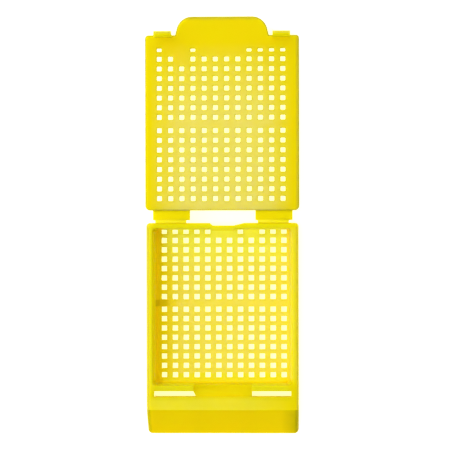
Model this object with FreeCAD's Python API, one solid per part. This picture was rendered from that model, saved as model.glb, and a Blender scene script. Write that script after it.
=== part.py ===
"""Tissue cassette, moulded in one shot: a perforated tray with a slanted writing
face, a perforated lid with two snap hooks, and two thin hinge straps between them.

Frame: the tray stands on z = 0 with the origin in the middle of its underside.
+X runs across the tray, +Y from the writing face to the hinge, +Z up.
The lid lies open, level with the tray's rim, as the part leaves its mould.
All sizes are in millimetres.
"""
import FreeCAD, Part
import math
import os

# ---------------------------------------------------------------- tray sizes
base_length = 40.1
base_width = 28.7
base_height = 5.7
floor_thickness = 1.0
side_wall = 1.1
rear_wall = 1.0
front_wall = 1.0
rear_corner_radius = 0.7
front_corner_radius = 0.9
foot_chamfer = 0.25
cavity_corner_radius = 0.8
floor_fillet = 0.5

# The tray's inner walls: a shallow step under the rim, then a sloping face.
rim_step_depth = 0.8
rim_step_width = 0.2
side_slope = 0.5
front_slope = 0.25

# ------------------------------------------------- slanted face and its ledge
slant_angle = 45.0
slant_foot_height = 0.9
ledge_depth = 2.6
skin = 1.0
ledge_edge_round = 0.6
catch_lip_thickness = 0.6
slant_rib_thickness = 0.8
slant_rib_inset = 0.75

# ------------------------------------------------------ latch slots and ramp
slot_width = 1.05
left_slot_length = 7.9
right_slot_length = 7.35
slot_side_inset = 1.45
slot_end_slant = 0.55
ramp_drop_front = 0.25
ramp_drop_rear = 0.8

# --------------------------------------------------------- notch in the back
notch_centre_x = 0.1
notch_width = 4.0
notch_depth = 0.5
notch_left_slope = 0.65
notch_right_slope = 2.1
notch_inner_slope = 0.4

# ------------------------------------------------------------------ lid sizes
lid_side_overhang = 0.15
lid_rear_overhang = 0.9
lid_thickness = 1.0
lid_front_corner_radius = 0.6
lid_hinge_corner_radius = 0.9
lid_edge_chamfer = 0.2
lid_seat_gap = 0.05

tab_height = 3.5
tab_base_width = 17.65
tab_lean = 14.0
tab_corner_radius = 2.95

# ---------------------------------------------------------------- snap hooks
hook_side_play = 0.15
hook_shift = 0.05
hook_width = 3.3
hook_thickness = 0.4
hook_height = 3.6
hook_barb = 0.47
hook_barb_height = 2.85
hook_barb_land = 0.15
hook_tip_thickness = 0.35
hook_play = 0.05
catch_play = 0.15

# -------------------------------------------------------------- hinge straps
strap_side_inset = 1.2
strap_shift = 0.07
strap_length = 2.33
link_width = 7.0
link_thickness = 0.55
web_width = 5.85
web_shift = -0.13
web_length = 0.5
web_thickness = 0.4
lid_drop = 0.2

# ---------------------------------------------------------- perforated fields
hole_margin = 0.2

floor_hole_size = 1.0
floor_pitch_x = 2.072
floor_pitch_y = 1.782
floor_bar_pitch = 2.42
floor_field_shift = 0.19
floor_last_row_inset = 0.565
floor_short_row_cut = 0.26

lid_hole_size = 0.9
lid_pitch_x = 2.114
lid_pitch_y = 1.829
lid_bar_pitch = 2.48
lid_field_shift = -0.2
lid_first_row_inset = 2.25
lid_short_row_cut = 0.3
lid_side_margin = 1.3
lid_front_margin = 1.5

# Cells left plain, as (row from the short row inwards, column from the left).
floor_plain_cells = ((0, 8),)
lid_plain_cells = ((0, 1), (0, 2), (0, 4), (0, 5), (0, 6), (0, 7), (1, 2))

# ------------------------------------------------------------ derived places
rear_y = base_length / 2
front_y = -base_length / 2
half_width = base_width / 2
slant_rise = math.tan(math.radians(slant_angle))
slant_top_y = front_y + (base_height - slant_foot_height) / slant_rise
slot_front_y = slant_top_y + ledge_depth
slot_rear_y = slot_front_y + slot_width
cavity_front_y = slot_rear_y + front_wall
cavity_rear_y = rear_y - rear_wall
cavity_half_width = half_width - side_wall
floor_half_width = cavity_half_width - rim_step_width - side_slope
floor_front_y = cavity_front_y + front_slope
slot_outer_x = half_width - slot_side_inset
left_slot_inner_x = left_slot_length - slot_outer_x
right_slot_inner_x = slot_outer_x - right_slot_length

# Turned over, the lid's front edge stands over the latch slots: the hook's
# back runs down just in front of the tray's front wall.
closed_lid_front_y = slot_rear_y - hook_play - hook_thickness
lid_length = rear_y + lid_rear_overhang - closed_lid_front_y
lid_inner_z = base_height - lid_drop
lid_outer_z = lid_inner_z - lid_thickness
lid_hinge_y = rear_y + strap_length
lid_front_y = lid_hinge_y + lid_length
lid_half_width = half_width + lid_side_overhang
hook_centre_x = slot_outer_x - hook_side_play - hook_width / 2
strap_centre_x = half_width - strap_side_inset - link_width / 2

# The lips under the ledge end just above the closed hooks' barbs.
catch_lip_z = base_height + lid_seat_gap - hook_barb_height + hook_barb / 2 + catch_play

# The line that the lid turns about: the middle between its open and closed places.
hinge_y = (lid_front_y + closed_lid_front_y) / 2
hinge_z = (lid_inner_z + base_height + lid_seat_gap) / 2


def point(x, y, z):
    return FreeCAD.Vector(x, y, z)


def block(x_low, x_high, y_low, y_high, z_low, z_high):
    """A box from its lowest to its highest corner."""
    return Part.makeBox(x_high - x_low, y_high - y_low, z_high - z_low, point(x_low, y_low, z_low))


def plan_prism(corners, z_low, z_high):
    """A prism whose plan is the closed outline through the (x, y) corners."""
    outline = [point(x, y, z_low) for x, y in corners]
    face = Part.Face(Part.makePolygon(outline + outline[:1]))
    return face.extrude(point(0, 0, z_high - z_low))


def side_prism(corners, x_low, x_high):
    """A prism along X whose side view is the closed outline through the (y, z) corners."""
    outline = [point(x_low, y, z) for y, z in corners]
    face = Part.Face(Part.makePolygon(outline + outline[:1]))
    return face.extrude(point(x_high - x_low, 0, 0))


def edges_where(shape, test):
    """The straight edges whose two ends both pass the test."""
    chosen = []
    for edge in shape.Edges:
        ends = [vertex.Point for vertex in edge.Vertexes]
        if len(ends) == 2 and test(ends[0]) and test(ends[1]):
            chosen.append(edge)
    return chosen


def near(value, target):
    return abs(value - target) < 1e-4


def is_upright(edge):
    ends = [vertex.Point for vertex in edge.Vertexes]
    return len(ends) == 2 and near(ends[0].x, ends[1].x) and near(ends[0].y, ends[1].y)


# ------------------------------------------------------------ square holes
def hole_columns(field_half_width, hole_size, pitch, shift):
    """Column centres: as many as the plate's flat width has room for."""
    room = 2 * (field_half_width - abs(shift) - hole_margin) - hole_size
    count = int(room / pitch) + 1
    return [shift + (column - (count - 1) / 2) * pitch for column in range(count)]


def hole_rows(start, room, pitch, bar_pitch):
    """Distances of the row centres from the plate's edge: two equal fields with a
    plain bar between them, as many rows as the room from the first centre holds."""
    per_field = int((room - (bar_pitch - pitch)) / pitch + 1) // 2
    rows = []
    for row in range(2 * per_field):
        bar_extra = bar_pitch - pitch if row >= per_field else 0
        rows.append(start + row * pitch + bar_extra)
    return rows


def hole_cutters(columns, rows, hole_size, plain_cells, short_row_cut, z_low, z_high):
    """One square cutter per open cell. The rows count inwards from the short row,
    whose holes lose a strip on their +Y side."""
    cutters = []
    half = hole_size / 2
    for row, y in enumerate(rows):
        cut_back = short_row_cut if row == 0 else 0
        for column, x in enumerate(columns):
            if (row, column) not in plain_cells:
                cutters.append(block(x - half, x + half, y - half, y + half - cut_back, z_low, z_high))
    return Part.makeCompound(cutters)


# -------------------------------------------------------------------- tray
def tray_outside():
    """The solid outer form: a low block with the writing face slanted off its front."""
    outline = (
        (rear_y, 0),
        (rear_y, base_height),
        (slant_top_y, base_height),
        (front_y, slant_foot_height),
        (front_y, 0),
    )
    body = side_prism(outline, -half_width, half_width)
    rear_corners = [edge for edge in body.Edges if is_upright(edge) and near(edge.Vertexes[0].Y, rear_y)]
    body = body.makeFillet(rear_corner_radius, rear_corners)
    slant_edge = edges_where(body, lambda end: near(end.y, slant_top_y) and near(end.z, base_height))
    body = body.makeFillet(ledge_edge_round, slant_edge)
    front_sides = []
    for edge in body.Edges:
        middle = edge.CenterOfMass
        on_side = near(abs(middle.x), half_width) and middle.y < slant_top_y - ledge_edge_round / 2
        if on_side and middle.z > 1e-4:
            front_sides.append(edge)
    return body.makeFillet(front_corner_radius, front_sides)


def tray_hollow():
    """The tray's hollow as one solid, with its fillets."""
    step_z = base_height - rim_step_depth
    top_x = cavity_half_width - rim_step_width
    floor_corners = (
        (-floor_half_width, floor_front_y), (floor_half_width, floor_front_y),
        (floor_half_width, cavity_rear_y), (-floor_half_width, cavity_rear_y),
    )
    rim_corners = (
        (-top_x, cavity_front_y), (top_x, cavity_front_y),
        (top_x, cavity_rear_y), (-top_x, cavity_rear_y),
    )
    tub = sloping_tub(floor_corners, rim_corners, floor_thickness, base_height)
    upright = [edge for edge in tub.Edges if not near(edge.Vertexes[0].Z, edge.Vertexes[1].Z)]
    tub = tub.makeFillet(cavity_corner_radius, upright)
    floor_edges = []
    for edge in tub.Edges:
        on_floor = all(near(v.Z, floor_thickness) for v in edge.Vertexes)
        on_rear = all(near(v.Y, cavity_rear_y) for v in edge.Vertexes)
        if on_floor and not on_rear:
            floor_edges.append(edge)
    tub = tub.makeFillet(floor_fillet, floor_edges)
    step = block(
        -cavity_half_width, cavity_half_width, cavity_front_y, cavity_rear_y, step_z, base_height,
    )
    step_corners = [edge for edge in step.Edges if is_upright(edge)]
    return tub.fuse(step.makeFillet(cavity_corner_radius, step_corners)).removeSplitter()


def sloping_tub(low_corners, high_corners, z_low, z_high):
    """A four-sided solid with flat sides between a low and a high rectangle."""
    low = [point(x, y, z_low) for x, y in low_corners]
    high = [point(x, y, z_high) for x, y in high_corners]
    faces = [Part.Face(Part.makePolygon(low + low[:1])), Part.Face(Part.makePolygon(high + high[:1]))]
    for side in range(4):
        after = (side + 1) % 4
        ring = [low[side], low[after], high[after], high[side], low[side]]
        faces.append(Part.Face(Part.makePolygon(ring)))
    return Part.Solid(Part.Shell(faces)).removeSplitter()


def front_pocket():
    """The space under the ledge and the writing face, open at the underside."""
    skin_drop = skin / math.cos(math.radians(slant_angle))
    ceiling_z = base_height - skin
    ceiling_front_y = slant_top_y - (skin - skin_drop) / slant_rise
    foot_y = front_y + skin
    foot_z = base_height - skin_drop - (slant_top_y - foot_y) * slant_rise
    outline = (
        (slot_rear_y, 0),
        (slot_rear_y, ceiling_z),
        (ceiling_front_y, ceiling_z),
        (foot_y, foot_z),
        (foot_y, 0),
    )
    inner_x = half_width - skin
    pocket = side_prism(outline, -inner_x, inner_x)
    for slot_x_low, slot_x_high, rib_x in (
        (-slot_outer_x, left_slot_inner_x, left_slot_inner_x + slant_rib_inset),
        (right_slot_inner_x, slot_outer_x, right_slot_inner_x - slant_rib_inset),
    ):
        rib = block(
            rib_x - slant_rib_thickness / 2, rib_x + slant_rib_thickness / 2,
            front_y, slot_front_y, -1, base_height,
        )
        lip = block(
            slot_x_low, slot_x_high, slot_front_y - catch_lip_thickness, slot_front_y,
            catch_lip_z, base_height,
        )
        pocket = pocket.cut(rib).cut(lip)
    return pocket


def latch_slots():
    """Two slots behind the ledge; the left one ends on a slant beside the ramp."""
    z_low = base_height - skin - 1
    z_high = base_height + 1
    left = (
        (-slot_outer_x, slot_front_y),
        (left_slot_inner_x, slot_front_y),
        (left_slot_inner_x - slot_end_slant, slot_rear_y),
        (-slot_outer_x, slot_rear_y),
    )
    right = (
        (right_slot_inner_x, slot_front_y),
        (slot_outer_x, slot_front_y),
        (slot_outer_x, slot_rear_y),
        (right_slot_inner_x, slot_rear_y),
    )
    return plan_prism(left, z_low, z_high).fuse(plan_prism(right, z_low, z_high))


def middle_ramp():
    """The cut between the slots, falling from the ledge towards the hollow."""
    front_z = base_height - ramp_drop_front
    rear_z = base_height - ramp_drop_rear
    behind_y = cavity_front_y + 1
    slope = (front_z - rear_z) / (cavity_front_y - slot_front_y)
    outline = (
        (slot_front_y, front_z),
        (slot_front_y, base_height + 1),
        (behind_y, base_height + 1),
        (behind_y, rear_z - slope),
    )
    left_x = left_slot_inner_x - slot_end_slant
    return side_prism(outline, left_x, right_slot_inner_x)


def wall_jog(face_y, left_slope, right_slope, z_low, z_high):
    """A shallow trapezium that steps one face of the rear wall towards the hollow."""
    left_x = notch_centre_x - notch_width / 2
    right_x = notch_centre_x + notch_width / 2
    corners = (
        (left_x - left_slope, face_y),
        (left_x, face_y - notch_depth),
        (right_x, face_y - notch_depth),
        (right_x + right_slope, face_y),
    )
    return plan_prism(corners, z_low, z_high)


def make_tray():
    body = tray_outside()
    foot_edges = [edge for edge in body.Edges if all(near(v.Z, 0) for v in edge.Vertexes)]
    body = body.makeChamfer(foot_chamfer, foot_edges)
    inner_jog = wall_jog(cavity_rear_y, notch_inner_slope, notch_inner_slope, 0, base_height + 1)
    outer_jog = wall_jog(rear_y, notch_left_slope, notch_right_slope, -1, base_height + 1)
    body = body.cut(tray_hollow().cut(inner_jog))
    body = body.cut(outer_jog)
    body = body.cut(front_pocket())
    body = body.cut(latch_slots())
    body = body.cut(middle_ramp())
    columns = hole_columns(floor_half_width, floor_hole_size, floor_pitch_x, floor_field_shift)
    last_row_y = cavity_rear_y - floor_last_row_inset
    room = last_row_y - (floor_front_y + floor_fillet + hole_margin + floor_hole_size / 2)
    rows = [last_row_y - step for step in hole_rows(0, room, floor_pitch_y, floor_bar_pitch)]
    jog_reach = (notch_width + floor_hole_size) / 2 + notch_inner_slope
    under_jog = [(0, column) for column, x in enumerate(columns) if abs(x - notch_centre_x) < jog_reach]
    holes = hole_cutters(
        columns, rows, floor_hole_size, floor_plain_cells + tuple(under_jog),
        floor_short_row_cut, -1, floor_thickness + floor_fillet,
    )
    return body.cut(holes)


# --------------------------------------------------------------------- lid
def lid_outline():
    """The lid's plan: a rectangle with a round-cornered finger tab on its free edge."""
    base_half = tab_base_width / 2
    lean = math.radians(tab_lean)
    crown_half = base_half - tab_height * math.tan(lean)
    tip_y = lid_front_y + tab_height
    return (
        (-lid_half_width, lid_hinge_y),
        (lid_half_width, lid_hinge_y),
        (lid_half_width, lid_front_y),
        (base_half, lid_front_y),
        (crown_half, tip_y),
        (-crown_half, tip_y),
        (-base_half, lid_front_y),
        (-lid_half_width, lid_front_y),
    )


def make_plate():
    """The lid's plate with its corners and edges rounded."""
    plate = plan_prism(lid_outline(), lid_outer_z, lid_inner_z)
    radii = (
        (lid_hinge_corner_radius, lambda v: near(v.Y, lid_hinge_y)),
        (lid_front_corner_radius, lambda v: near(v.Y, lid_front_y) and near(abs(v.X), lid_half_width)),
        (tab_corner_radius, lambda v: near(v.Y, lid_front_y + tab_height)),
    )
    for radius, at_corner in radii:
        corners = [edge for edge in plate.Edges if is_upright(edge) and at_corner(edge.Vertexes[0])]
        plate = plate.makeFillet(radius, corners)
    rim = [edge for edge in plate.Edges if not is_upright(edge)]
    rim = [edge for edge in rim if not all(near(v.Y, lid_hinge_y) for v in edge.Vertexes)]
    return plate.makeChamfer(lid_edge_chamfer, rim)


def make_hook(centre_x):
    """A snap hook: a thin leg with a barb that leans back towards its tip."""
    back_y = lid_front_y - hook_thickness
    root_z = lid_inner_z - lid_thickness / 2
    barb_z = lid_inner_z + hook_barb_height
    tip_z = lid_inner_z + hook_height
    outline = (
        (back_y, root_z),
        (back_y, tip_z),
        (back_y + hook_tip_thickness, tip_z),
        (lid_front_y + hook_barb, barb_z + hook_barb_land),
        (lid_front_y + hook_barb, barb_z),
        (lid_front_y, barb_z - hook_barb / 2),
        (lid_front_y, root_z),
    )
    return side_prism(outline, centre_x - hook_width / 2, centre_x + hook_width / 2)


def make_lid():
    lid = make_plate()
    for side in (-1, 1):
        lid = lid.fuse(make_hook(side * hook_centre_x + hook_shift))
    lid = lid.removeSplitter()
    field_half_width = lid_half_width - lid_side_margin
    columns = hole_columns(field_half_width, lid_hole_size, lid_pitch_x, lid_field_shift)
    room = lid_length - lid_first_row_inset - lid_front_margin - lid_hole_size / 2
    steps = hole_rows(lid_first_row_inset, room, lid_pitch_y, lid_bar_pitch)
    rows = [lid_hinge_y + step for step in reversed(steps)]
    holes = hole_cutters(
        columns, rows, lid_hole_size, lid_plain_cells,
        lid_short_row_cut, lid_outer_z - 1, lid_inner_z + 1,
    )
    return lid.cut(holes)


# ------------------------------------------------------------ hinge straps
def make_strap(centre_x):
    """A hinge strap: a link beside the lid and a thinner, narrower web at the tray."""
    web_centre_x = centre_x + web_shift
    web_top_z = lid_outer_z + link_thickness
    link = block(
        centre_x - link_width / 2, centre_x + link_width / 2,
        rear_y + web_length, lid_hinge_y, lid_outer_z, web_top_z,
    )
    web = block(
        web_centre_x - web_width / 2, web_centre_x + web_width / 2,
        rear_y, rear_y + web_length, web_top_z - web_thickness, web_top_z,
    )
    return link.fuse(web).removeSplitter()


def save(shape, node):
    if shape.ShapeType == "Compound" and len(shape.Solids) == 1:
        shape = shape.Solids[0]
    shape.exportStep("parts/" + node + ".step")


os.makedirs("parts", exist_ok=True)
save(make_tray(), "base_tray")
save(make_lid(), "lid")
save(make_strap(strap_shift - strap_centre_x), "left_hinge_strap")
save(make_strap(strap_shift + strap_centre_x), "right_hinge_strap")
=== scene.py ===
import math
import bmesh
import bpy
from mathutils import Matrix, Vector
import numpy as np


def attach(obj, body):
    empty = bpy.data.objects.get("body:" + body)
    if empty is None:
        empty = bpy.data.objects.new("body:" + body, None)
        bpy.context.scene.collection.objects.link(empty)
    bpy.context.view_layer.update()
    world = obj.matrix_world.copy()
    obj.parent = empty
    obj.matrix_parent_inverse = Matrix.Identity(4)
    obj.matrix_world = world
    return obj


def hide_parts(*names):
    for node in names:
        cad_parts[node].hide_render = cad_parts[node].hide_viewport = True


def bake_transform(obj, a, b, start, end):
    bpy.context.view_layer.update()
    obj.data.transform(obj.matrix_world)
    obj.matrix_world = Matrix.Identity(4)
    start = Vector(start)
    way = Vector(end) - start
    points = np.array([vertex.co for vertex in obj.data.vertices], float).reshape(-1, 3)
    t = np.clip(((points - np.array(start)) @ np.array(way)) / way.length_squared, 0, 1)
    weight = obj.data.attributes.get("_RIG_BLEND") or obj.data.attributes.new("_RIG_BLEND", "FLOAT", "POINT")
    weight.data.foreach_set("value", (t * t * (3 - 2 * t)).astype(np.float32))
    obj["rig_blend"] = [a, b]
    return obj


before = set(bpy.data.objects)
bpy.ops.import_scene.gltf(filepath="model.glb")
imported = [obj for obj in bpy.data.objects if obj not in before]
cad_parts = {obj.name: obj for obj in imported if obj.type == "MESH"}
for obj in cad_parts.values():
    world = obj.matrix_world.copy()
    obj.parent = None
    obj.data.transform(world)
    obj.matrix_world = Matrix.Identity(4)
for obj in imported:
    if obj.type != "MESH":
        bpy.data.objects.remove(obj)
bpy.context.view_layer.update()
scene = bpy.context.scene


# ------------------------------------------------------------ camera
# The cassette lies open on a white table. The camera hangs about a third of a metre over
# its middle and a little to the right, and looks down on it through a long lens.
camera_data = bpy.data.cameras.new("camera")
camera_data.lens = 147.4
camera_data.sensor_width = 36
camera_data.clip_start = 0.01
camera = bpy.data.objects.new("camera", camera_data)
scene.collection.objects.link(camera)
aim = Vector((0.00052, 0.01962, 0.0057))
camera_aside = 0.0096
camera_height = 0.346
camera_place = Matrix.Translation(aim + Vector((camera_aside, 0, camera_height)))
camera_turn = Matrix.Rotation(math.radians(-0.12), 4, "Z")
camera_tilt = Matrix.Rotation(math.atan2(camera_aside, camera_height), 4, "Y")
camera.matrix_world = camera_place @ camera_turn @ camera_tilt
scene.camera = camera
scene.view_settings.view_transform = "Standard"


# ------------------------------------------------------------ table
# A sheet of white acrylic lit from below, as used under small clear parts. It lies flat,
# and its own glow keeps the shadow under the lid faint.
millimetre = 0.001
table_size = 3.0
table_middle_y = 0.02
table_drop = 0.02 * millimetre
table_mesh = bmesh.new()
bmesh.ops.create_grid(table_mesh, x_segments=2, y_segments=2, size=table_size / 2)
bmesh.ops.translate(table_mesh, verts=table_mesh.verts, vec=(0, table_middle_y, -table_drop))
table_data = bpy.data.meshes.new("white_table")
table_mesh.to_mesh(table_data)
table_mesh.free()
white_table = bpy.data.objects.new("white_table", table_data)
scene.collection.objects.link(white_table)


def add_node(tree, kind, name, place, feeds, **settings):
    """A new node in a node tree. Each feed is a socket's fixed value, or the output of
    another node that goes into it."""
    node = tree.nodes.new(kind)
    node.name = node.label = name
    node.location = place
    for setting, value in settings.items():
        setattr(node, setting, value)
    for socket, feed in feeds.items():
        if isinstance(feed, bpy.types.NodeSocket):
            tree.links.new(feed, node.inputs[socket])
        else:
            node.inputs[socket].default_value = feed
    return node


def noise(tree, name, place, where, lumps, detail):
    """Noise with so many lumps in each unit of length."""
    feeds = {"Vector": where, "Scale": lumps, "Detail": detail}
    return add_node(tree, "ShaderNodeTexNoise", name, place, feeds).outputs["Fac"]


def worked_out(tree, name, place, operation, *values, clamped=False):
    """The result of one sum on one, two or three values."""
    feeds = dict(enumerate(values))
    settings = {"operation": operation, "use_clamp": clamped}
    return add_node(tree, "ShaderNodeMath", name, place, feeds, **settings).outputs["Value"]


def rescaled(tree, name, place, value, before, after=(0.0, 1.0)):
    """A value that ran between the two numbers of before, and now between those of after."""
    feeds = {
        "Value": value, "From Min": before[0], "From Max": before[1],
        "To Min": after[0], "To Max": after[1],
    }
    return add_node(tree, "ShaderNodeMapRange", name, place, feeds).outputs["Result"]


def mixed_colour(tree, name, place, share, first, second):
    """The colour that far on the way from the first to the second."""
    feeds = {"Factor": share, "A": first, "B": second}
    node = add_node(tree, "ShaderNodeMix", name, place, feeds, data_type="RGBA")
    return node.outputs["Result"]


def empty_material(name):
    """A material with nothing in its node tree yet."""
    material = bpy.data.materials.new(name)
    material.use_nodes = True
    material.node_tree.nodes.clear()
    return material, material.node_tree


def add_plastic(tree, feeds):
    """The shader that everything else in a plastic's tree goes into, and its output."""
    plastic = add_node(tree, "ShaderNodeBsdfPrincipled", "Plastic", (400, 0), feeds)
    surface = {"Surface": plastic.outputs["BSDF"]}
    add_node(tree, "ShaderNodeOutputMaterial", "Output", (700, 0), surface)


acrylic, tree = empty_material("white_acrylic")
on_sheet = add_node(tree, "ShaderNodeTexCoord", "On the sheet", (-1500, 0), {}).outputs["Object"]
split = add_node(tree, "ShaderNodeSeparateXYZ", "Split", (-1300, -200), {"Vector": on_sheet})

# The sheet's glow is painted yellow beneath the plastic, a painted light that stands in for
# light that has come through it, but not in the open gap between tray and lid. Each band is
# measured from a line across the sheet: its axis, the line, and the distances at which the
# yellow begins and is full, in metres.
bands = (
    ("Across", "X", 0.0, 0.0150, 0.0135),
    ("Along", "Y", 0.0196, 0.0390, 0.0365),
    ("Off the gap", "Y", 0.0212, 0.0008, 0.0022),
)
painted_yellow_share = 1.0
for row, (band, axis, line, begins, full) in enumerate(bands):
    row_height = -100 - 200 * row
    away = worked_out(
        tree, band + " from the line", (-1100, row_height), "SUBTRACT",
        split.outputs[axis], line,
    )
    distance = worked_out(tree, band + " distance", (-900, row_height), "ABSOLUTE", away)
    within = rescaled(tree, band, (-700, row_height), distance, (begins, full))
    painted_yellow_share = worked_out(
        tree, "With " + band, (-500, row_height), "MULTIPLY", painted_yellow_share, within
    )
add_plastic(tree, {
    "Base Color": mixed_colour(
        tree, "Tint", (-200, 300),
        noise(tree, "Cloud", (-500, 300), on_sheet, lumps=9, detail=2),
        (0.86, 0.86, 0.86, 1), (0.90, 0.90, 0.89, 1),
    ),
    "Roughness": 0.6,
    "Specular IOR Level": 0.2,
    # Painted light: the sheet's glow turns yellow under the plastic.
    "Emission Color": mixed_colour(
        tree, "Painted yellow light", (0, -200), painted_yellow_share, (0.9, 0.9, 0.89, 1), (1, 0.985, 0.58, 1)
    ),
    "Emission Strength": 0.8,
})
table_data.materials.append(acrylic)


# ------------------------------------------------------------ light
# A softbox stands high on the left, in a pale room that gives most of its light from that
# side, less from the right and the back, and little from the front and from overhead.
softbox_light = bpy.data.lights.new("key_softbox", "AREA")
softbox_light.shape = "SQUARE"
softbox_light.size = 0.6
softbox_light.energy = 1.26
softbox = bpy.data.objects.new("key_softbox", softbox_light)
scene.collection.objects.link(softbox)
softbox.location = (-0.40, 0.04, 0.68)
softbox.rotation_euler = (aim - softbox.location).to_track_quat("-Z", "Y").to_euler()

room = bpy.data.worlds.new("pale_room")
scene.world = room
room.use_nodes = True
walls = room.node_tree
way_out = add_node(walls, "ShaderNodeTexCoord", "Way out", (-1500, 0), {}).outputs["Generated"]
ways = add_node(walls, "ShaderNodeSeparateXYZ", "Ways", (-1300, 0), {"Vector": way_out})

# Each side of the room: its axis and direction, how sharply its light falls off to the
# sides, and its strength.
sides = (
    ("Left", "X", -1, 1, 1.43),
    ("Right", "X", 1, 1, 0.68),
    ("Front", "Y", -1, 1, 0.14),
    ("Back", "Y", 1, 1, 0.59),
    ("Above", "Z", 1, 2, 0.17),
)
room_light = 0.0
for row, (side, axis, direction, sharpness, strength) in enumerate(sides):
    row_height = 400 - 200 * row
    towards = worked_out(
        walls, side, (-1100, row_height), "MULTIPLY", ways.outputs[axis], direction, clamped=True
    )
    shaped = worked_out(
        walls, side + " falling off", (-900, row_height), "POWER", towards, sharpness
    )
    room_light = worked_out(
        walls, side + " added", (-700, row_height), "MULTIPLY_ADD", shaped, strength, room_light
    )
sky = walls.nodes["Background"]
sky.inputs["Color"].default_value = (1, 1, 1, 1)
walls.links.new(room_light, sky.inputs["Strength"])


# ------------------------------------------------------------ tray
# The lower half of the one-piece moulding, in yellow acetal: perforated floor, four
# walls, ledge with two latch slots, and a slanted writing face that is hollow beneath.
def with_rolled_edges(node, rounds, narrowed=True):
    """A copy of a CAD solid in whole faces. Each round rolls the edges that it picks over
    by a radius, as a steel mould leaves them, and marks how much painted shade those that
    face up get in colour. A narrowed round is made as small as its tightest place needs."""
    least_bend = math.radians(35)
    steepest, flattest = 0.2, 0.95
    solid = bmesh.new()
    solid.from_mesh(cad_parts[node].data)
    bmesh.ops.remove_doubles(solid, verts=solid.verts, dist=1e-7)
    bmesh.ops.dissolve_limit(
        solid, angle_limit=math.radians(1), verts=solid.verts, edges=solid.edges
    )
    # The mark says how much painted edge shade each corner gets.
    edge_shade_mark = solid.loops.layers.float.new("edge_shade_mark")
    for picks, radius, mark in rounds:
        solid.normal_update()
        edges = [
            edge
            for edge in solid.edges
            if edge.calc_face_angle(0) > least_bend and picks(*edge.verts)
        ]
        bmesh.ops.bevel(
            solid, geom=edges, offset=radius * millimetre, offset_type="OFFSET",
            affect="EDGES", segments=3, profile=0.5, material=-1, clamp_overlap=narrowed,
        )
        solid.normal_update()
        for face in solid.faces:
            if steepest < face.normal.z < flattest and picks(*face.verts):
                for loop in face.loops:
                    loop[edge_shade_mark] = max(loop[edge_shade_mark], mark)
    return solid


def moulded(solid, name):
    """A piece of the scene from a mesh, shaded smooth between its sharp edges."""
    for face in solid.faces:
        face.smooth = True
    mesh = bpy.data.meshes.new(name)
    solid.to_mesh(mesh)
    solid.free()
    mesh.set_sharp_from_angle(angle=math.radians(40))
    piece = bpy.data.objects.new(name, mesh)
    scene.collection.objects.link(piece)
    even_shading = piece.modifiers.new("even_shading", "WEIGHTED_NORMAL")
    even_shading.keep_sharp = True
    return piece


def all_between(low, high):
    """A picker for edges and faces with all their corners in a box, in millimetres."""
    def picks(*corners):
        return all(
            low[axis] * millimetre <= corner.co[axis] <= high[axis] * millimetre
            for corner in corners
            for axis in range(3)
        )
    return picks


def all_round(half_width, front_y, rear_y, low_z, high_z):
    """A picker for edges and faces with all their corners within a band of height and
    outside a rectangle, in millimetres."""
    def picks(*corners):
        return all(
            (
                abs(corner.co.x) > half_width * millimetre
                or corner.co.y < front_y * millimetre
                or corner.co.y > rear_y * millimetre
            )
            and low_z * millimetre < corner.co.z < high_z * millimetre
            for corner in corners
        )
    return picks


hole_edge_radius = 0.11
tray_rounds = (
    # The holes in the floor, above and below.
    (all_between((-12.6, -10.2, -0.1), (12.6, 18.9, 1.01)), hole_edge_radius, 1.0),
    # The rim's outer edge, along the sides and the back.
    (all_round(13.9, -100, 19.6, 5.3, 5.8), 0.35, 1.0),
    # The rim's inner edge, the ledge, the slots and the ramp.
    (all_between((-15, -16, 5.0), (15, 21, 5.8)), 0.12, 0.2),
    # The foot of the writing face.
    (all_between((-15, -20.1, 0.4), (15, -19.5, 1.5)), 0.15, 1.0),
)
tray_solid = with_rolled_edges("base_tray", tray_rounds)

# The slanted face has a material of its own, and only its rounded ends get painted edge shade,
# the more the further they turn aside. The rim at the hinges gets no painted edge shade.
writing_face_rear_y = -15
writing_face_foot_z = 1
hinge_rim_front_y = 19.3
hinge_rim_foot_z = 5
edge_shade_mark = tray_solid.loops.layers.float["edge_shade_mark"]
tray_solid.normal_update()
for face in tray_solid.faces:
    middle = face.calc_center_median() / millimetre
    slanted = face.normal.y < -0.25 and face.normal.z > 0.25
    if slanted and middle.y < writing_face_rear_y and middle.z > writing_face_foot_z:
        face.material_index = 1
        for loop in face.loops:
            loop[edge_shade_mark] = min(1.0, 2 * abs(face.normal.x))
    elif middle.y > hinge_rim_front_y and middle.z > hinge_rim_foot_z:
        for loop in face.loops:
            loop[edge_shade_mark] = 0.0
tray = moulded(tray_solid, "tray_body")
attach(tray, "tray")
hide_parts("base_tray")


# The plastic is a warm clear yellow, with a fine spark-eroded grain, slow clouds in its pigment
# where it flowed into the mould, and painted light and shade on its rolled edges and in patches.
def new_group(name, inputs, outputs):
    """An empty shader node group with named sockets, and the outputs that hold what each
    material gives it."""
    group = bpy.data.node_groups.new(name, "ShaderNodeTree")
    for label, kind in inputs.items():
        group.interface.new_socket(label, in_out="INPUT", socket_type="NodeSocket" + kind)
    for label, kind in outputs.items():
        group.interface.new_socket(label, in_out="OUTPUT", socket_type="NodeSocket" + kind)
    return group, add_node(group, "NodeGroupInput", "Given", (-900, 0), {}).outputs


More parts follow.
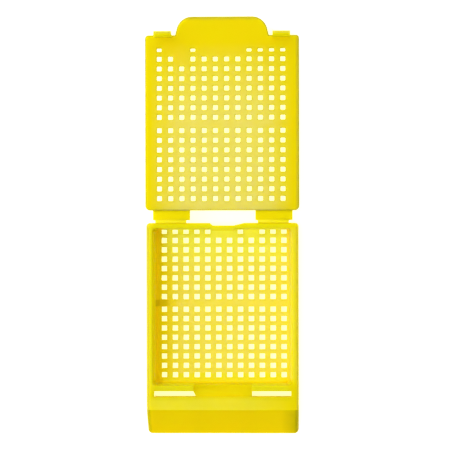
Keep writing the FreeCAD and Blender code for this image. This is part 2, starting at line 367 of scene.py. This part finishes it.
# Clouds: the pigment's slow drift and a finer mottling, between two shades.
clouds, given = new_group(
    "pigment_clouds",
    {"Place": "Vector", "Colour": "Color", "Drift Colour": "Color", "Amount": "Float"},
    {"Colour": "Color"},
)
slow_drift = noise(clouds, "Slow drift", (-600, 200), given["Place"], lumps=0.16, detail=3)
mottling = noise(clouds, "Fine mottling", (-600, -100), given["Place"], lumps=1.1, detail=2)
drift_share = worked_out(
    clouds, "Both", (-100, 100), "ADD",
    rescaled(clouds, "Drift range", (-350, 200), slow_drift, (0.35, 0.65), (0.0, 0.7)),
    rescaled(clouds, "Mottling range", (-350, -100), mottling, (0.35, 0.65), (0.0, 0.3)),
)
drift_share = worked_out(clouds, "Amount", (100, 100), "MULTIPLY", drift_share, given["Amount"])
shade = mixed_colour(
    clouds, "Shade", (500, 100), drift_share, given["Colour"], given["Drift Colour"]
)
add_node(clouds, "NodeGroupOutput", "Clouds", (900, 0), {"Colour": shade})

# Grain: the height and the uneven gloss that a spark-eroded mould leaves.
grain, given = new_group(
    "eroded_grain",
    {"Place": "Vector", "Fineness": "Float", "Roughness": "Float", "Spread": "Float"},
    {"Height": "Float", "Roughness": "Float"},
)
pits = noise(grain, "Pits", (-500, 200), given["Place"], lumps=given["Fineness"], detail=3)
gloss = noise(grain, "Gloss patches", (-500, -150), given["Place"], lumps=0.7, detail=3)
gloss = worked_out(grain, "Centred", (-200, -150), "SUBTRACT", gloss, 0.5)
gloss = worked_out(grain, "Scaled", (50, -150), "MULTIPLY", gloss, given["Spread"])
gloss = worked_out(grain, "Shifted", (300, -150), "ADD", gloss, given["Roughness"])
add_node(grain, "NodeGroupOutput", "Grain", (900, 0), {"Height": pits, "Roughness": gloss})

# Edges: where the surface rolls over it is smoother, and it is painted deeper in colour as a
# painted shade, in broken stretches.
edge_shade_and_gloss, given = new_group(
    "edge_shade_and_gloss",
    {
        "Place": "Vector", "Edge Shade Mark": "Float", "Colour": "Color", "Edge Shade Colour": "Color",
        "Roughness": "Float", "Edge Roughness": "Float",
    },
    {"Colour": "Color", "Roughness": "Float"},
)
breaks = noise(edge_shade_and_gloss, "Breaks", (-600, 200), given["Place"], lumps=0.9, detail=2)
breaks = rescaled(edge_shade_and_gloss, "Break range", (-350, 200), breaks, (0.35, 0.65), (0.7, 1.0))
edge_share = worked_out(
    edge_shade_and_gloss, "Edge share", (-100, 100), "MULTIPLY", breaks, given["Edge Shade Mark"]
)
deeper = mixed_colour(
    edge_shade_and_gloss, "Painted edge shade", (300, 200), edge_share, given["Colour"], given["Edge Shade Colour"]
)
smoother = add_node(
    edge_shade_and_gloss, "ShaderNodeMix", "Smoother", (300, -100),
    {"Factor": edge_share, "A": given["Roughness"], "B": given["Edge Roughness"]},
)
add_node(
    edge_shade_and_gloss, "NodeGroupOutput", "Edges", (900, 0),
    {"Colour": deeper, "Roughness": smoother.outputs["Result"]},
)

# Painted light and shade: a colour of its own about a middle, in soft patches, that fades out
# before its reach. It paints patches of light and shade into the surface's colour.
painted_light_and_shade, given = new_group(
    "painted_light_and_shade",
    {
        "Place": "Vector", "Centre": "Vector", "Reach": "Vector", "Full Within": "Vector",
        "Colour": "Color", "Painted Colour": "Color",
    },
    {"Colour": "Color"},
)
offset = add_node(
    painted_light_and_shade, "ShaderNodeVectorMath", "Offset", (-700, 100),
    {0: given["Place"], 1: given["Centre"]}, operation="SUBTRACT",
)
distance = add_node(
    painted_light_and_shade, "ShaderNodeVectorMath", "Distance", (-500, 100),
    {0: offset.outputs["Vector"]}, operation="ABSOLUTE",
)
reach_share = add_node(
    painted_light_and_shade, "ShaderNodeVectorMath", "Share of reach", (-300, 100),
    {0: distance.outputs["Vector"], 1: given["Reach"]}, operation="DIVIDE",
)
fading = add_node(
    painted_light_and_shade, "ShaderNodeMapRange", "Fading", (-100, 100),
    {
        "Vector": reach_share.outputs["Vector"], "From Min": (1, 1, 1),
        "From Max": given["Full Within"],
    },
    data_type="FLOAT_VECTOR",
)
along = add_node(
    painted_light_and_shade, "ShaderNodeSeparateXYZ", "Along each axis", (100, 100),
    {"Vector": fading.outputs["Vector"]},
).outputs
patches = noise(painted_light_and_shade, "Patches", (0, -200), given["Place"], lumps=0.5, detail=2)
patches = rescaled(painted_light_and_shade, "Patch range", (250, -200), patches, (0.35, 0.65), (0.78, 1.0))
painted_share = worked_out(painted_light_and_shade, "Flat", (250, 100), "MULTIPLY", along["X"], along["Y"])
painted_share = worked_out(painted_light_and_shade, "Solid", (400, 100), "MULTIPLY", painted_share, along["Z"])
painted_share = worked_out(painted_light_and_shade, "Broken up", (500, 0), "MULTIPLY", painted_share, patches)
shade = mixed_colour(
    painted_light_and_shade, "Shade", (650, 100), painted_share, given["Colour"], given["Painted Colour"]
)
add_node(painted_light_and_shade, "NodeGroupOutput", "Local shade", (900, 0), {"Colour": shade})


def acetal(
    name, colour, drift, edge, painted_patches, drift_amount, roughness, fineness, depth,
    specular=0.15, scatter=2.0,
):
    """Yellow acetal with its clouds, its painted patches of light and shade, painted shade on
    its rolled edges, and grain. The grain's depth and the distance that light scatters below
    the surface are in millimetres."""
    material, tree = empty_material(name)
    coordinates = add_node(tree, "ShaderNodeTexCoord", "Coordinates", (-1300, 0), {})
    in_millimetres = add_node(
        tree, "ShaderNodeMapping", "In millimetres", (-1100, 0),
        {
            "Vector": coordinates.outputs["Object"],
            "Scale": (1 / millimetre, 1 / millimetre, 1 / millimetre),
        },
    ).outputs["Vector"]
    shaded = add_node(
        tree, "ShaderNodeGroup", "Clouds", (-800, 100),
        {
            "Place": in_millimetres, "Colour": (*colour, 1), "Drift Colour": (*drift, 1),
            "Amount": drift_amount,
        },
        node_tree=clouds,
    ).outputs["Colour"]
    for row, (where, centre, reach, full_within, painted_colour) in enumerate(painted_patches):
        shaded = add_node(
            tree, "ShaderNodeGroup", where, (-600, 100 + 300 * row),
            {
                "Place": in_millimetres, "Centre": centre, "Reach": reach,
                "Full Within": full_within, "Colour": shaded,
                "Painted Colour": (*painted_colour, 1),
            },
            node_tree=painted_light_and_shade,
        ).outputs["Colour"]
    grained = add_node(
        tree, "ShaderNodeGroup", "Grain", (-800, -250),
        {
            "Place": in_millimetres, "Fineness": fineness, "Roughness": roughness,
            "Spread": 0.18,
        },
        node_tree=grain,
    ).outputs
    marked = add_node(
        tree, "ShaderNodeAttribute", "Marked edges", (-800, 350), {}, attribute_name="edge_shade_mark"
    )
    edged = add_node(
        tree, "ShaderNodeGroup", "Edges", (-400, 100),
        {
            "Place": in_millimetres, "Edge Shade Mark": marked.outputs["Fac"], "Colour": shaded,
            "Edge Shade Colour": (*edge, 1), "Roughness": grained["Roughness"],
            "Edge Roughness": 0.7 * roughness,
        },
        node_tree=edge_shade_and_gloss,
    ).outputs
    bump = add_node(
        tree, "ShaderNodeBump", "Bump", (50, -350),
        {"Strength": 1.0, "Distance": depth * millimetre, "Height": grained["Height"]},
    )
    add_plastic(tree, {
        "Base Color": edged["Colour"],
        "Roughness": edged["Roughness"],
        "Normal": bump.outputs["Normal"],
        "Specular IOR Level": specular,
        "Specular Tint": (1.0, 0.88, 0.2, 1),
        "Subsurface Weight": 1.0,
        "Subsurface Radius": (1.0, 0.9, 0.05),
        "Subsurface Scale": scatter * millimetre,
    })
    return material


# Each patch of painted light and shade: where it is, its centre and reach in millimetres, the
# share of its reach within which it is full, and its colour.
painted_outer_wall_shade = (0.64, 0.53, 0.001)
tray_painted_light_and_shade = (
    # Painted light: the floor is painted paler, standing in for sheen and for light that comes up
    # through the thin floor and its holes.
    ("Floor", (1.6, 4.6, 4), (13.0, 14.7, 30), (0.72, 0.93, 0.9), (0.87, 0.765, 0.13)),
    # Painted light: towards the rear wall the floor is painted a clearer, brighter yellow, as is
    # the wall over it.
    ("Floor, rear", (0, 19, 1), (12.4, 8.0, 1.6), (0.9, 0.1, 0.4), (0.96, 0.95, 0.12)),
    ("Rear wall, inside", (0, 19, 3.6), (12.6, 0.8, 2.6), (0.95, 0.6, 0.7), (1.0, 0.83, 0.01)),
    # Painted shade: the strip along the front wall has no holes, and is painted with less of that
    # light.
    ("Floor, front", (0, -9.4, 1), (12.2, 0.9, 1.2), (0.9, 0.8, 0.5), (0.84, 0.80, 0.03)),
    # Painted light: the ledge over its hollow and the wall behind the slots are painted brighter,
    # as if lit from two sides. Painted shade: the ramp between the slots is thicker and painted
    # deeper in colour.
    ("Ledge", (-3, -14.6, 5.6), (16, 2.0, 2), (0.5, 0.6, 0.8), (0.99, 0.82, 0.045)),
    ("Front wall", (0, -11.4, 4), (13, 1.4, 2.8), (0.9, 0.85, 0.8), (1.0, 0.84, 0.012)),
    ("Ramp", (0, -11.4, 4), (5.6, 1.4, 2.8), (0.95, 0.85, 0.8), (0.93, 0.71, 0.0005)),
    # Painted highlight and shade: the left wall is painted bright on its crest, and painted deeper
    # at its foot, where the bar between the two fields of holes meets it, and along its outer edge.
    ("Left rim", (-13.35, 4, 6), (0.7, 16, 1.2), (0.7, 0.9, 0.7), (1.0, 0.81, 0.012)),
    ("Left wall, foot", (-12.05, 4, 1), (0.65, 16, 3.5), (0.6, 0.9, 0.4), (0.81, 0.71, 0.003)),
    ("Bar, left end", (-11.9, 4.82, 1), (2.0, 0.68, 3), (0.5, 0.8, 0.4), (0.70, 0.61, 0.003)),
    ("Left rim, outside", (-14.5, 3, 5.2), (0.85, 24, 1.4), (0.7, 0.9, 0.8), (0.70, 0.60, 0.035)),
    # Painted shade: the outer walls are painted deeper, standing in for the shade of walls that no
    # light comes through from behind.
    ("Left wall, outside", (-15, 0, 2.2), (1, 30, 2.8), (0.8, 0.9, 0.7), painted_outer_wall_shade),
    ("Right wall, outside", (15, 0, 2.2), (1, 30, 2.8), (0.8, 0.9, 0.7), painted_outer_wall_shade),
    ("Rear wall, outside", (0, 21, 2.0), (16, 1.9, 2.6), (0.9, 0.89, 0.7), painted_outer_wall_shade),
)
tray_acetal = acetal(
    "tray_acetal",
    colour=(0.925, 0.768, 0.0008), drift=(0.945, 0.755, 0.002), edge=(0.60, 0.52, 0.04),
    painted_patches=tray_painted_light_and_shade, drift_amount=0.8, roughness=0.38, fineness=7, depth=0.004,
)
tray.data.materials.append(tray_acetal)

# The slanted face is eroded coarser than the rest, so that pencil and ink hold on it. Its
# colour is painted deeper than the tray's, a painted shade, and its right end, which turns away
# from the light, gets more painted shade.
slant_painted_shade = (
    ("Right end", (15.2, -17.5, 3), (4.2, 10, 20), (0.45, 0.9, 0.9), (0.64, 0.54, 0.0003)),
)
writing_face_acetal = acetal(
    "writing_face_acetal",
    colour=(0.84, 0.67, 0.0002), drift=(0.87, 0.66, 0.0005), edge=(0.45, 0.38, 0.001),
    painted_patches=slant_painted_shade, drift_amount=0.6, roughness=0.62, fineness=5, depth=0.012,
    specular=0.02,
)
tray.data.materials.append(writing_face_acetal)


# ------------------------------------------------------------ lid
# The upper half of the same moulding, opened flat: a perforated plate with a finger tab
# and two snap hooks, which go into the slots in the tray's ledge when it is closed.
lid_rounds = (
    # The holes, above and below.
    (all_between((-13.9, 23.5, 4.4), (13.9, 54.3, 5.6)), hole_edge_radius, 1.0),
    # The plate's outline with the tab.
    (all_round(13.6, 22.9, 54.6, 4.4, 5.6), 0.08, 1.0),
    # The snap hooks.
    (all_between((-13.0, 54, 6), (13.0, 57, 9.3)), 0.06, 0.5),
)

# Nothing on the lid is tight, so every round keeps its full radius.
lid_solid = with_rolled_edges("lid", lid_rounds, narrowed=False)

# The edge by the straps gets less painted edge shade.
hinge_edge_y = 23.4
hinge_edge_shade = 0.45
edge_shade_mark = lid_solid.loops.layers.float["edge_shade_mark"]
for face in lid_solid.faces:
    if face.calc_center_median().y < hinge_edge_y * millimetre:
        for loop in face.loops:
            loop[edge_shade_mark] = min(hinge_edge_shade, loop[edge_shade_mark])
lid = moulded(lid_solid, "lid_body")
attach(lid, "cover")
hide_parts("lid")

# The perforated plate is painted paler, most of all in its middle and by the hinges, a painted
# light and sheen standing in for light from the sheet below. Its right edge and the tab's end are
# painted deeper in colour, a painted shade where they turn from the light.
lid_painted_light_and_shade = (
    ("Plate", (-0.2, 22, 4), (13.4, 32, 30), (0.55, 0.6, 0.9), (0.80, 0.735, 0.18)),
    ("Right edge", (14.6, 38, 5), (0.85, 20, 2), (0.6, 0.9, 0.8), (0.60, 0.54, 0.03)),
    ("Tab end", (0, 59, 5), (10, 0.95, 2), (0.9, 0.5, 0.8), (0.60, 0.54, 0.03)),
)
# The lid's own colour is set deeper than the tray's, a painted shade.
lid_acetal = acetal(
    "lid_acetal",
    colour=(0.79, 0.70, 0.0006), drift=(0.81, 0.685, 0.002), edge=(0.42, 0.38, 0.03),
    painted_patches=lid_painted_light_and_shade, drift_amount=0.8, roughness=0.38, fineness=7, depth=0.004,
)
lid.data.materials.append(lid_acetal)


# ------------------------------------------------------------ hinge straps
# Two thin straps of the same plastic join the lid to the tray and bend when it closes:
# a wide link at the lid, and a thinner, narrower web at the tray.
# The straps' colour is set deeper than the tray's, a painted shade.
hinge_acetal = acetal(
    "hinge_acetal",
    colour=(0.74, 0.63, 0.0006), drift=(0.76, 0.63, 0.002), edge=(0.60, 0.52, 0.02),
    painted_patches=(), drift_amount=0.8, roughness=0.34, fineness=9, depth=0.003, scatter=2.5,
)

# The thin web is painted pale, a painted light, and given a painted glow that stands in for
# light that comes through it.
web_end_y = 20.45
link_start_y = 20.75
tree = hinge_acetal.node_tree
plastic = tree.nodes["Plastic"]
where = add_node(
    tree, "ShaderNodeSeparateXYZ", "Where", (-500, 500),
    {"Vector": tree.nodes["In millimetres"].outputs["Vector"]},
)
web_share = rescaled(
    tree, "On the web", (-300, 500), where.outputs["Y"], (link_start_y, web_end_y)
)
painted_web_light = mixed_colour(
    tree, "Painted web light", (100, 300),
    web_share, tree.nodes["Edges"].outputs["Colour"], (1.0, 0.90, 0.03, 1),
)
painted_web_glow = mixed_colour(
    tree, "Painted glow through the web", (100, 600), web_share, (0, 0, 0, 1), (1.0, 0.75, 0.01, 1)
)
tree.links.new(painted_web_light, plastic.inputs["Base Color"])
tree.links.new(painted_web_glow, plastic.inputs["Emission Color"])
plastic.inputs["Emission Strength"].default_value = 0.15

strap_rounds = ((all_between((-14, 20.2, 4.4), (14, 22.2, 5.1)), 0.08, 0.5),)
bend_start_y = 20.05
bend_end_y = 22.38
bend_cuts = 14
for side in ("left", "right"):
    strap_solid = with_rolled_edges(side + "_hinge_strap", strap_rounds)
    for cut in range(1, bend_cuts):
        cut_y = bend_start_y + (bend_end_y - bend_start_y) * cut / bend_cuts
        bmesh.ops.bisect_plane(
            strap_solid,
            geom=strap_solid.verts[:] + strap_solid.edges[:] + strap_solid.faces[:],
            plane_co=(0, cut_y * millimetre, 0), plane_no=(0, 1, 0),
        )
    strap = moulded(strap_solid, side + "_strap")
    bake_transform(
        strap, "tray", "cover",
        start=(0, bend_start_y * millimetre, 0.005), end=(0, bend_end_y * millimetre, 0.005),
    )
    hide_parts(side + "_hinge_strap")
    strap.data.materials.append(hinge_acetal)
